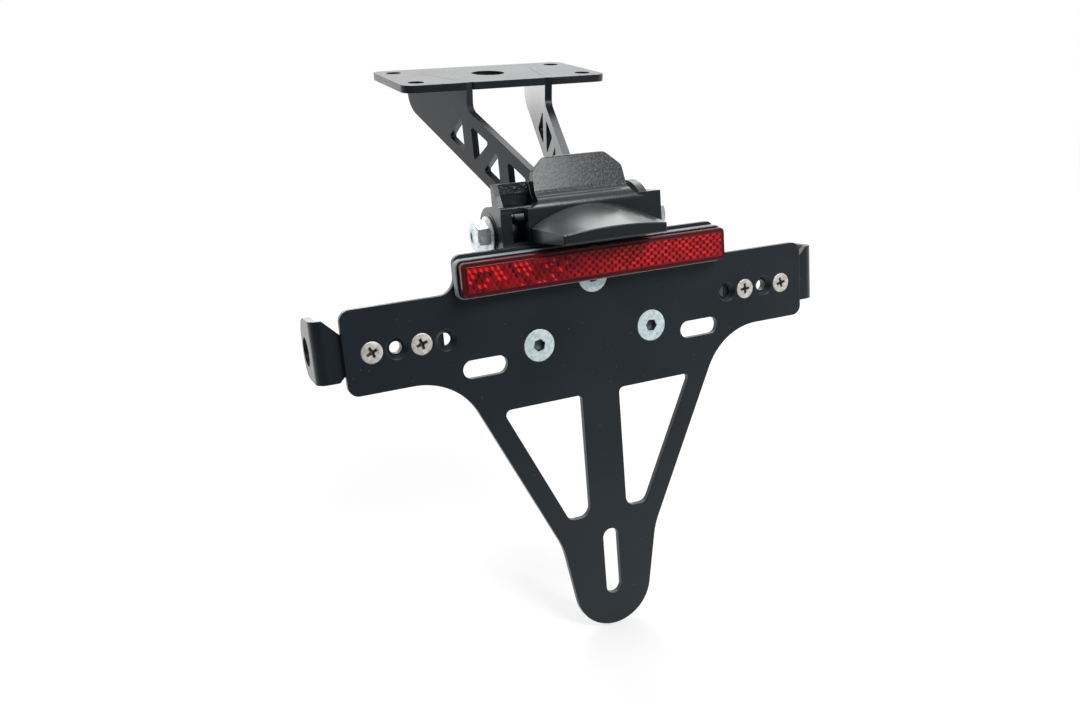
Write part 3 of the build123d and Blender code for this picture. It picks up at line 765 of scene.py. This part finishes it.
class Finishes:
    """Every finish on the object, each built once and found by its slot."""

    def __init__(self) -> None:
        """Build the materials."""
        finishes = (
            PowderCoat(Slot.POWDER_COAT, (0.0062, 0.0145, 0.0215), 0.46),
            Moulding(
                Slot.TEXTURED, (0.0035, 0.0078, 0.0118), 0.3, strength=0.9, relief=0.0004,
                pebbled=True, coat=0.6, coat_roughness=0.17,
            ),
            Moulding(Slot.SMOOTH, (0.003, 0.0068, 0.0105), 0.3, coat=0.7, coat_roughness=0.18),
            Moulding(Slot.GREY, (0.36, 0.4, 0.42), 0.36),
            Metal(Slot.BRIGHT_ZINC, (0.78, 0.85, 0.87), 0.3),
            # The screws' finishes carry painted shade in their drive recesses
            Metal(Slot.BLUE_ZINC, (0.8, 0.93, 0.98), 0.6, painted_recess_shade=True),
            Metal(Slot.STAINLESS, (0.82, 0.79, 0.73), 0.55, painted_recess_shade=True),
            Metal(Slot.BRASS, (0.62, 0.45, 0.18), 0.32),
            Rubber(Slot.RUBBER, (0.012, 0.012, 0.013), 0.7),
            PrismRed(Slot.RED, (0.2, 0.004, 0.006), 0.14),
            ClearMoulding(Slot.CLEAR, (0.95, 0.96, 0.97), 0.08),
            CircuitBoard(Slot.BOARD, (0.02, 0.12, 0.04), 0.4),
            Diode(Slot.DIODE, (0.8, 0.62, 0.12), 0.35),
        )
        self.made = {finish.slot: finish.material() for finish in finishes}


class Loops:
    """Closed outlines for Shaper.stack, in millimetres."""

    facets = 120
    corner_steps = 7
    least_corner = 0.08
    cross_middle = 0.95
    crest_flat = (0.44, 0.56)
    least_sine = 0.0001

    @classmethod
    def ring(
        cls,
        radius: float | Callable[[float], float],
        height: float,
        lean: float = 0.0,
        start: float = 0.0,
    ) -> list[Vector]:
        """Outline about Z.

        Args:
            radius: Its radius, or a function that gives it for a direction.
            height: Its height on Z.
            lean: How fast it falls beyond the start radius.
            start: The radius beyond which it falls.

        Returns:
            The outline's points.
        """
        points = []
        for index in range(cls.facets):
            turn = 2 * pi * index / cls.facets
            reach = radius(turn) if callable(radius) else radius
            fall = lean * max(0.0, reach - start)
            points.append(Vector((reach * cos(turn), reach * sin(turn), height - fall)))
        return points

    @staticmethod
    def hexagon(flats: float) -> Callable[[float], float]:
        """Radius of a hexagon by direction, from its width across flats."""
        return lambda turn: flats / 2 / cos(turn % (pi / 3) - pi / 6)

    @classmethod
    def cross(cls, length: float, width: float) -> Callable[[float], float]:
        """Radius of a cross with a round middle, by direction.

        Args:
            length: Length of its arms, from tip to tip.
            width: Width of an arm.

        Returns:
            A function that gives the radius for a direction.
        """

        def radius(turn: float) -> float:
            """Reach of the cross in a direction."""
            lean = (turn + pi / 4) % (pi / 2) - pi / 4
            arm = min(length / 2 / cos(lean), width / 2 / max(abs(sin(lean)), cls.least_sine))
            return max(cls.cross_middle * width, arm)

        return radius

    @classmethod
    def teeth(cls, radius: float, depth: float) -> Callable[[float], float]:
        """Radius of a knurled round, by direction."""
        return lambda turn: radius - depth * (round(turn * cls.facets / (2 * pi)) // 2 % 2)

    @classmethod
    def thread(
        cls, crest: float, root: float, pitch: float, top: float, bottom: float
    ) -> list[tuple[float, float]]:
        """Rows of a thread for Shaper.turned, from its top down.

        Args:
            crest: Radius over the thread.
            root: Radius at its root.
            pitch: Height of one turn.
            top: Height of the first root.
            bottom: Height at which it ends.

        Returns:
            The rows, ending at a root.
        """
        rows = [(root, top)]
        height = top
        while height - pitch > bottom:
            rows += [(crest, height - share * pitch) for share in cls.crest_flat]
            height -= pitch
            rows.append((root, height))
        return rows

    @classmethod
    def slab(cls, box: Box, corner: float, inset: float, height: float) -> list[Vector]:
        """Rectangle with round corners.

        Args:
            box: Left, right, bottom and top.
            corner: Radius of its corners before the inset.
            inset: How far it lies inside the box.
            height: Its height on Z.

        Returns:
            The outline's points.
        """
        left, right, bottom, top = box
        radius = max(corner - inset, cls.least_corner)
        reach = inset + radius
        centres = (
            (right - reach, top - reach),
            (left + reach, top - reach),
            (left + reach, bottom + reach),
            (right - reach, bottom + reach),
        )
        points = []
        for quarter, (x, y) in enumerate(centres):
            for step in range(cls.corner_steps + 1):
                turn = (quarter + step / cls.corner_steps) * pi / 2
                points.append(Vector((x + radius * cos(turn), y + radius * sin(turn), height)))
        return points


@dataclass
class Shaper:
    """Mesh tools that the sub-assemblies share."""

    finishes: Finishes
    merge: float = 0.00001
    seam: float = 0.0001
    flat: float = radians(0.4)
    sharp: float = radians(28)
    shading: float = radians(35)
    area_weight: int = 80

    def copy(self, node: str) -> Solid:
        """Copy a node's mesh as a solid.

        Args:
            node: The node's name.

        Returns:
            The mesh with its doubles merged and its flat faces joined.
        """
        bm = bmesh.new()
        bm.from_mesh(frame["nodes"][node].data)
        bmesh.ops.remove_doubles(bm, verts=bm.verts, dist=self.merge)
        bmesh.ops.dissolve_limit(bm, angle_limit=self.flat, verts=bm.verts, edges=bm.edges)
        return bm

    def soften(self, bm: Solid, width: float, segments: int) -> None:
        """Round a mesh's sharp edges.

        Args:
            bm: The mesh, in metres.
            width: Width of the rounding, in millimetres.
            segments: Steps across the rounding.
        """
        shared = [e for e in bm.edges if len(e.link_faces) == 2]
        edges = [e for e in shared if e.calc_face_angle() > self.sharp]
        bmesh.ops.bevel(
            bm, geom=edges, offset=width * MM, offset_type="OFFSET", affect="EDGES",
            segments=segments, profile=0.5, clamp_overlap=True, material=-1,
        )

    def stack(self, loops: Sequence[Sequence[Vector]], closed: bool = False) -> Solid:
        """Join loops of points, one after the other, into a solid.

        Args:
            loops: The loops, all with the same number of points.
            closed: Whether the last loop joins the first; otherwise both ends are capped.

        Returns:
            The closed solid, in the loops' units.
        """
        bm = bmesh.new()
        verts = [bm.verts.new(point) for point in loops[0]]
        edges = [bm.edges.new(pair) for pair in zip(verts, verts[1:] + verts[:1])]
        if not closed:
            bmesh.ops.contextual_create(bm, geom=edges)
        for loop in [*loops[1:], *([loops[0]] if closed else [])]:
            made = bmesh.ops.extrude_edge_only(bm, edges=edges)["geom"]
            fresh = {item for item in made if isinstance(item, bmesh.types.BMVert)}
            edges = [item for item in made if isinstance(item, bmesh.types.BMEdge)]
            verts = [
                next(e.other_vert(v) for e in v.link_edges if e.other_vert(v) in fresh)
                for v in verts
            ]
            for vert, point in zip(verts, loop):
                vert.co = point
        if closed:
            bmesh.ops.remove_doubles(bm, verts=bm.verts, dist=self.seam)
        else:
            bmesh.ops.contextual_create(bm, geom=edges)
        bmesh.ops.recalc_face_normals(bm, faces=bm.faces)
        return bm

    def turned(self, *rows: Sequence, closed: bool = False) -> Solid:
        """Stack rings about Z; a row holds a radius, a height and what else Loops.ring takes."""
        return self.stack([Loops.ring(*row) for row in rows], closed)

    def scatter(self, template: Solid, places: Iterable[Matrix]) -> Solid:
        """Copy a solid to several places.

        Args:
            template: The solid; it is freed.
            places: The matrix of each copy.

        Returns:
            The copies in one mesh.
        """
        mesh = bpy.data.meshes.new("template")
        template.to_mesh(mesh)
        template.free()
        bm = bmesh.new()
        for place in places:
            count = len(bm.verts)
            bm.from_mesh(mesh)
            bm.verts.ensure_lookup_table()
            bmesh.ops.transform(bm, matrix=place, verts=bm.verts[count:])
        bpy.data.meshes.remove(mesh)
        return bm

    def replace(self, node: str, bm: Solid, body: Body, slot: Slot) -> None:
        """Show a mesh in place of a node.

        Args:
            node: The node's name.
            bm: The mesh, in the row frame; it is freed.
            body: The body that it rides on.
            slot: The record's slot, whose finish it gets.
        """
        mesh = bpy.data.meshes.new(node + "_surface")
        bm.to_mesh(mesh)
        bm.free()
        mesh.materials.append(self.finishes.made[slot])
        mesh.shade_smooth()
        mesh.set_sharp_from_angle(angle=self.shading)
        piece = bpy.data.objects.new(node + "_surface", mesh)
        bpy.context.scene.collection.objects.link(piece)
        weights = piece.modifiers.new("even_shading", "WEIGHTED_NORMAL")
        weights.keep_sharp = True
        weights.weight = self.area_weight
        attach(piece, body.value)
        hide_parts(node)
        log.info("%s: %d faces", piece.name, len(mesh.polygons))

    def softened(self, node: str, width: float, body: Body, slot: Slot, segments: int = 2) -> None:
        """Show a node with rounded edges.

        Args:
            node: The node's name.
            width: Width of the rounding, in millimetres.
            body: The body that it rides on.
            slot: The record's slot, whose finish it gets.
            segments: Steps across the rounding.
        """
        bm = self.copy(node)
        self.soften(bm, width, segments)
        self.replace(node, bm, body, slot)

    def dress(self, node: str, slot: Slot) -> None:
        """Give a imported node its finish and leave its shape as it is.

        Args:
            node: The node's name.
            slot: The slot whose finish it gets.
        """
        materials = frame["nodes"][node].data.materials
        materials.clear()
        materials.append(self.finishes.made[slot])
        log.info("%s: dressed", node)


@dataclass
class TailMount:
    """The fixed side: base plate, arms, hinge barrel and hinge bolts."""

    shaper: Shaper
    plate_edge: float = 0.45
    arm_edge: float = 0.3
    barrel_edge: float = 0.2
    seat_x: float = 32.7
    flange_radius: float = 6.8
    flats: float = 10.0
    head_height: float = 6.0
    chamfer_radius: float = 4.85
    turns: Span = (12.0, -17.0)

    def build(self) -> None:
        """Build the pieces."""
        for node, width, segments in (
            ("base_plate", self.plate_edge, 3),
            ("left_arm", self.arm_edge, 2),
            ("right_arm", self.arm_edge, 2),
            ("hinge_barrel", self.barrel_edge, 2),
        ):
            self.shaper.softened(node, width, Body.BASE, Slot.POWDER_COAT, segments)
        hinge = Vector(frame["joints"][0]["pos_m"])
        places = []
        for side, turn in zip((-1, 1), self.turns):
            seat = Matrix.Translation(hinge + Vector((side * self.seat_x * MM, 0, 0)))
            outward = Matrix.Rotation(radians(side * 90), 4, "Y")
            spin = Matrix.Rotation(radians(turn), 4, "Z")
            places.append(seat @ outward @ spin @ Matrix.Scale(MM, 4))
        bm = self.shaper.scatter(self.bolt(), places)
        self.shaper.replace("hinge_bolts", bm, Body.BASE, Slot.BRIGHT_ZINC)

    def bolt(self) -> Solid:
        """Model a hex flange bolt with a chamfered, dished head.

        Returns:
            The bolt along +Z, with its flange's underside at 0, in millimetres.
        """
        hexagon = Loops.hexagon(self.flats)
        flange, top = self.flange_radius, self.head_height
        return self.shaper.turned(
            (3.0, -8.4), (3.0, 0.0),
            (flange - 0.2, 0.0), (flange, 0.2), (flange, 0.7), (flange - 0.25, 0.9), (5.95, 1.4),
            (hexagon, 1.6), (hexagon, top - 0.05, HEX_CHAMFER, self.chamfer_radius),
            (self.chamfer_radius, top), (3.1, top), (2.75, top - 0.45), (0.5, top - 0.5),
        )


@dataclass
class Carrier:
    """The plate carrier with its screws, inserts and nuts.

    A place is millimetres across and up the head, and a turn in degrees.
    """

    shaper: Shaper
    sheet_edge: float = 0.28
    hub_places: tuple[Point, ...] = ((-23.3, -7.8, 14.0), (23.3, -7.8, -8.0), (0.0, 14.4, 5.0))
    row_places: tuple[Point, ...] = (
        (-84.0, 0.0, 24.0), (-66.6, 0.0, 17.0), (66.6, 0.0, 3.0), (84.0, 0.0, 12.0),
    )
    nut_out: float = -5.0
    insert_out: float = -10.5

    def build(self) -> None:
        """Build the pieces."""
        self.shaper.softened("plate_carrier", self.sheet_edge, Body.HEAD, Slot.POWDER_COAT)
        for node, solid, places, out, slot in (
            ("hub_screws", self.hub_screw(), self.hub_places, 0.0, Slot.BLUE_ZINC),
            ("bracket_screws", self.row_screw(), self.row_places, 0.0, Slot.STAINLESS),
            ("bracket_nuts", self.nut(), self.row_places, self.nut_out, Slot.BRIGHT_ZINC),
            ("hub_inserts", self.insert(), self.hub_places, self.insert_out, Slot.BRASS),
        ):
            matrices = [
                HEAD_MATRIX @ Matrix.Translation((x, up, out)) @ Matrix.Rotation(radians(turn), 4, "Z")
                for x, up, turn in places
            ]
            self.shaper.replace(node, self.shaper.scatter(solid, matrices), Body.HEAD, slot)

    def hub_screw(self) -> Solid:
        """Model an M6 countersunk screw with a hex socket.

        Returns:
            The screw along -Z, with its head's top at 0, in millimetres.
        """
        return self.shaper.turned(
            (0.4, -2.75), (Loops.hexagon(3.9), -2.35), (Loops.hexagon(4.0), -0.3),
            (Loops.hexagon(4.25), -0.04), (Loops.hexagon(4.4), 0.0),
            (5.55, 0.0), (5.85, -0.06), (6.0, -0.22), (6.0, -0.34), (3.0, -3.2),
            *Loops.thread(crest=3.0, root=2.5, pitch=1.0, top=-3.6, bottom=-9.4),
            (2.6, -9.75), (2.2, -9.95),
        )

    def row_screw(self) -> Solid:
        """Model an M4 countersunk screw with a cross recess.

        Returns:
            The screw along -Z, with its head's top at 0, in millimetres.
        """
        return self.shaper.turned(
            (Loops.cross(1.3, 0.45), -1.6), (Loops.cross(3.3, 0.82), -1.0),
            (Loops.cross(4.1, 1.02), -0.1), (Loops.cross(4.3, 1.15), 0.0),
            (3.5, 0.0), (3.7, -0.05), (3.8, -0.16), (3.8, -0.22), (2.0, -1.9),
            *Loops.thread(crest=2.0, root=1.62, pitch=0.7, top=-2.3, bottom=-9.5),
            (1.7, -9.8), (1.4, -9.95),
        )

    def nut(self) -> Solid:
        """Model an M4 nut, chamfered at both ends.

        Returns:
            The nut along -Z from 0, in millimetres.
        """
        hexagon = Loops.hexagon(7.0)
        return self.shaper.turned(
            (2.4, -0.02), (3.4, -0.02),
            (hexagon, -0.05, HEX_CHAMFER, 3.4), (hexagon, -3.15, -HEX_CHAMFER, 3.4),
            (3.4, -3.2), (2.4, -3.2), (2.03, -2.85), (2.03, -0.35),
            closed=True,
        )

    def insert(self) -> Solid:
        """Model a knurled threaded insert.

        Returns:
            The insert along +Z from its rear face at 0, in millimetres.
        """
        knurl = Loops.teeth(4.3, 0.16)
        return self.shaper.turned(
            (3.35, 0.0), (4.1, 0.0), (knurl, 0.2), (knurl, 6.3),
            (4.1, 6.5), (3.35, 6.5), (3.05, 6.2), (3.05, 0.3),
            closed=True,
        )


@dataclass
class Brackets:
    """The two folded indicator brackets."""

    shaper: Shaper
    sheet_edge: float = 0.28

    def build(self) -> None:
        """Build the pieces."""
        for node in ("left_indicator_bracket", "right_indicator_bracket"):
            self.shaper.softened(node, self.sheet_edge, Body.HEAD, Slot.POWDER_COAT)


@dataclass
class Reflector:
    """The red reflector in its case.

    A profile's pairs are an inset from the case's outline and a distance out of the carrier's
    face.
    """

    shaper: Shaper
    pad_edge: float = 0.15
    box: Box = (-53.4, 53.4, 13.5, 27.2)
    corner: float = 2.6
    case: tuple[Span, ...] = (
        (0.0, 1.0), (0.0, 3.75), (0.12, 3.93), (0.25, 4.0), (0.42, 4.0), (0.5, 3.92), (0.5, 2.2),
    )
    seal: tuple[Span, ...] = (
        (0.51, 2.21), (0.51, 3.9), (0.6, 4.05), (0.75, 4.05), (0.84, 3.9), (0.84, 2.21),
    )
    lens: tuple[Span, ...] = (
        (0.85, 2.2), (0.85, 7.0), (0.95, 7.4), (1.25, 7.68), (2.25, 7.68), (2.38, 7.9), (2.55, 8.0),
    )

    def build(self) -> None:
        """Build the pieces."""
        self.shaper.softened("reflector_pad", self.pad_edge, Body.HEAD, Slot.RUBBER)
        for node, profile, closed, slot in (
            ("reflector_case", self.case, False, Slot.GREY),
            ("reflector_seal", self.seal, True, Slot.RUBBER),
            ("reflector_lens", self.lens, False, Slot.RED),
        ):
            loops = [Loops.slab(self.box, self.corner, inset, out) for inset, out in profile]
            bm = self.shaper.scatter(self.shaper.stack(loops, closed), [HEAD_MATRIX])
            self.shaper.replace(node, bm, Body.HEAD, slot)


@dataclass
class LampUnit:
    """The lamp housing with its hood, lens and what they hold."""

    shaper: Shaper
    housing_edge: float = 0.4
    hood_edge: float = 0.28
    gasket_edge: float = 0.05
    lens_edge: float = 0.15

    def build(self) -> None:
        """Build the pieces."""
        for node, width, slot, segments in (
            ("lamp_housing", self.housing_edge, Slot.TEXTURED, 3),
            ("lamp_hood", self.hood_edge, Slot.SMOOTH, 2),
            ("hood_gasket", self.gasket_edge, Slot.RUBBER, 2),
            ("lamp_lens", self.lens_edge, Slot.CLEAR, 2),
        ):
            self.shaper.softened(node, width, Body.HEAD, slot, segments)
        for node, slot in (
            ("lamp_board", Slot.BOARD),
            ("lamp_leds", Slot.DIODE),
            ("hood_screws", Slot.BRIGHT_ZINC),
            ("lead_grommet", Slot.RUBBER),
        ):
            self.shaper.dress(node, slot)


@dataclass(frozen=True)
class Lamp:
    """A soft square lamp. Its place, target and size are in metres, its power in watts."""

    name: str
    place: Point
    target: Point
    size: float
    power: float

    def hang(self) -> None:
        """Put the lamp into the scene."""
        data = bpy.data.lights.new(self.name, "AREA")
        data.shape = "SQUARE"
        data.size = self.size
        data.energy = self.power
        lamp = bpy.data.objects.new(self.name, data)
        lamp.location = self.place
        aim = Vector(self.target) - Vector(self.place)
        lamp.rotation_euler = aim.to_track_quat("-Z", "Y").to_euler()
        bpy.context.scene.collection.objects.link(lamp)


@dataclass
class Studio:
    """White table, white tent, soft lamps and the camera.

    The table and the tent get darker from behind the object towards the camera's side, each along
    its own axis. Only gloss sees that of the table.
    """

    camera_place: Point = (-0.1496, -0.3816, 0.0507)
    camera_pitch: float = 65.63
    camera_yaw: float = -24.52
    lens: float = 30.72
    sensor: float = 36.0
    clip: Span = (0.01, 50.0)
    floor_half: float = 6.0
    floor_gap: float = 0.0002
    floor_tone: float = 0.42
    floor_glow: float = 0.62
    white_from: Span = (0.35, 1.2)
    mirror_axis: Point = (0.7, 1.0, 0.0)
    mirror_range: Span = (-0.75, 0.1)
    mirror_level: Span = (0.06, 1.0)
    mirror_tone: float = 0.12
    tent_axis: Point = (0.6, 1.0, 0.25)
    tent_range: Span = (-0.9, 0.8)
    tent_level: Span = (0.05, 1.0)
    lamps: tuple[Lamp, ...] = (
        Lamp("overhead", (0.2, 0.75, 0.75), (0, 0, 0), size=0.9, power=6.0),
        Lamp("rear", (0.0, 1.2, -0.12), (0, 0, -0.05), size=0.45, power=1.1),
        Lamp("front_top", (0.25, -0.85, 0.72), (0, -0.1, -0.05), size=0.4, power=6.0),
    )

    def build(self) -> None:
        """Build the stage, the lamps and the camera."""
        self.camera()
        self.floor()
        self.tent()
        for lamp in self.lamps:
            lamp.hang()

    def camera(self) -> None:
        """Set the camera where the photograph was taken."""
        data = bpy.data.cameras.new("camera")
        data.lens = self.lens
        data.sensor_width = self.sensor
        data.clip_start, data.clip_end = self.clip
        camera = bpy.data.objects.new("camera", data)
        camera.location = self.camera_place
        camera.rotation_euler = (radians(self.camera_pitch), 0, radians(self.camera_yaw))
        bpy.context.scene.collection.objects.link(camera)
        bpy.context.scene.camera = camera

    def floor(self) -> None:
        """Lay a white table under the object, just below its lowest point."""
        bm = bmesh.new()
        bmesh.ops.create_grid(bm, x_segments=1, y_segments=1, size=self.floor_half)
        bmesh.ops.translate(bm, vec=(0, 0, CAD_BOX[0].z - self.floor_gap), verts=bm.verts)
        mesh = bpy.data.meshes.new("table")
        bm.to_mesh(mesh)
        bm.free()
        mesh.materials.append(self.floor_material())
        table = bpy.data.objects.new("table", mesh)
        bpy.context.scene.collection.objects.link(table)

    def floor_material(self) -> Material:
        """White to the camera, and grey only where the object's shadow falls.

        Returns:
            The table's material.
        """
        surface = Surface("white_table")
        paths = surface.node("LightPath").outputs
        glossy = paths["Is Glossy Ray"]
        depth = surface.measure("DOT_PRODUCT", surface.place, self.mirror_axis)
        level = surface.remap(depth, self.mirror_range, self.mirror_level)
        mirrored = surface.math("MULTIPLY", glossy, level)
        unlit = surface.math("SUBTRACT", glossy, mirrored)
        tone = surface.remap(unlit, UNIT, (self.floor_tone, self.mirror_tone))
        surface.set({"Base Color": tone, "Roughness": 1.0, "Specular IOR Level": 0.0})
        seen = surface.math("MAXIMUM", paths["Is Camera Ray"], mirrored)
        seen = surface.math("MAXIMUM", seen, paths["Is Transmission Ray"])
        strength = surface.math("MULTIPLY", seen, self.floor_glow)
        glow = surface.node("Emission", {"Strength": strength}).outputs[0]
        lifted = surface.node("AddShader", {0: surface.shader.outputs[0], 1: glow}).outputs[0]
        far = surface.remap(surface.measure("LENGTH", surface.place), self.white_from)
        white = surface.node("Emission", {"Strength": 1.0}).outputs[0]
        mixed = {0: surface.math("MULTIPLY", far, seen), 1: lifted, 2: white}
        mixed = surface.node("MixShader", mixed).outputs[0]
        surface.give(surface.tree.nodes["Material Output"], {"Surface": mixed})
        return surface.material

    def tent(self) -> None:
        """Surround the object with a tent, plain white to the camera."""
        world = bpy.data.worlds.new("tent")
        bpy.context.scene.world = world
        world.use_nodes = True
        wiring = Wiring(world.node_tree)
        direction = wiring.node("TexCoord").outputs["Generated"]
        facing = wiring.measure("DOT_PRODUCT", direction, self.tent_axis)
        level = wiring.remap(facing, self.tent_range, self.tent_level)
        seen = wiring.node("LightPath").outputs["Is Camera Ray"]
        inputs = {"Color": (1, 1, 1, 1), "Strength": wiring.math("MAXIMUM", level, seen)}
        wiring.give(world.node_tree.nodes["Background"], inputs)


def main() -> None:
    """Build the object and its studio."""
    logging.basicConfig(level=logging.INFO, format="%(name)s %(message)s")
    bpy.context.scene.view_settings.view_transform = "Standard"
    shaper = Shaper(Finishes())
    for part in (TailMount, Carrier, Brackets, Reflector, LampUnit):
        part(shaper).build()
    Studio().build()


if __name__ == "__main__":
    main()
